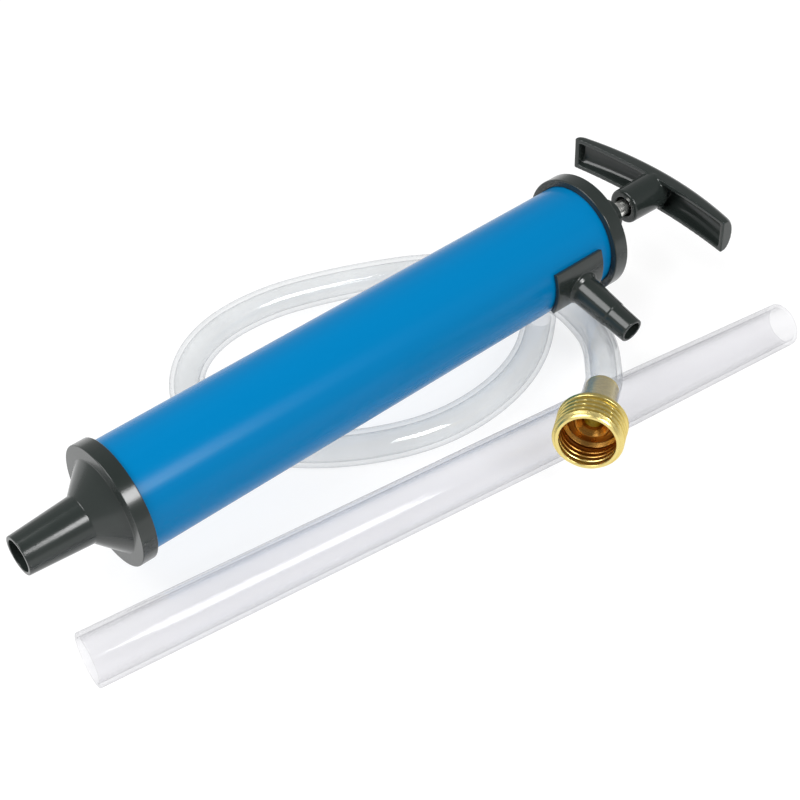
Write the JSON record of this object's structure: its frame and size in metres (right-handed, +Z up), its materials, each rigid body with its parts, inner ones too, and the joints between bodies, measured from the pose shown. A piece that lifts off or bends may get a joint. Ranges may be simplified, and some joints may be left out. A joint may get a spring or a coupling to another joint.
{
  "type": "fluid transfer pump",
  "caption": "Hand piston pump with plastic barrel, tapered inlet nozzle, side spout and T-handle, lying with its clear pick-up tube and a clear hose with a screwed brass coupling.",
  "frame": {"origin": "bottom centre of the bounding box of the pump and its pick-up tube, without the hose and its coupling", "axes": "+X along the pump's axis from the inlet nozzle to the T-handle, +Z up, -Y the side of the outlet spout"},
  "size_m": [0.2975, 0.1668, 0.0573],
  "materials": {
    "blue_pvc": "smooth semi-gloss extruded pipe",
    "black_plastic": "semi-gloss moulded black",
    "grey_plastic": "satin moulded grey",
    "rubber": "matt black rubber",
    "plated_steel": "bright plated steel",
    "black_steel": "blackened steel",
    "brass": "bright turned brass",
    "clear_rigid": "clear rigid tube",
    "clear_hose": "clear flexible vinyl"
  },
  "bodies": {
    "pump_body": {"barrel": "blue_pvc", "front_cap": "black_plastic", "front_cap_seal": "rubber", "foot_valve_seat": "grey_plastic", "foot_valve_ring": "grey_plastic", "rear_cap": "black_plastic", "rear_cap_seal": "rubber", "rod_gland": "black_plastic", "rod_seal": "rubber", "gland_bush": "black_plastic", "outlet_spout": "black_plastic", "outlet_seal": "rubber", "hose": "clear_hose", "hose_end_sleeve": "clear_hose", "coupling_shell": "brass", "coupling_shank": "brass"},
    "piston": {"piston_body": "grey_plastic", "piston_cup": "rubber", "piston_valve_stop": "plated_steel"},
    "rod": {"piston_rod": "plated_steel", "rod_nut": "plated_steel", "rod_washer": "plated_steel", "rod_collar": "plated_steel", "t_handle": "black_plastic", "handle_nut": "black_steel"},
    "foot_valve": {"foot_valve_poppet": "rubber", "foot_valve_clip": "plated_steel"},
    "piston_valve": {"piston_valve_disc": "rubber"},
    "pickup_tube": {"pickup_tube": "clear_rigid"}
  },
  "joints": [
    {"name": "piston_slide", "type": "slide", "parent": "pump_body", "child": "piston", "axis": [1, 0, 0], "range_m": [-0.005, 0.155]},
    {"name": "rod_swivel", "type": "hinge", "parent": "piston", "child": "rod", "pos_m": [-0.0768, 0.0194, 0.0339], "axis": [1, 0, 0], "continuous": true},
    {"name": "foot_valve_lift", "type": "slide", "parent": "pump_body", "child": "foot_valve", "axis": [1, 0, 0], "range_m": [0, 0.0026]},
    {"name": "piston_valve_lift", "type": "slide", "parent": "piston", "child": "piston_valve", "axis": [1, 0, 0], "range_m": [0, 0.0024]},
    {"name": "pickup_tube_slide", "type": "slide", "parent": "pump_body", "child": "pickup_tube", "axis": [0.991, -0.1339, 0], "range_m": [0, 0.2]}
  ]
}
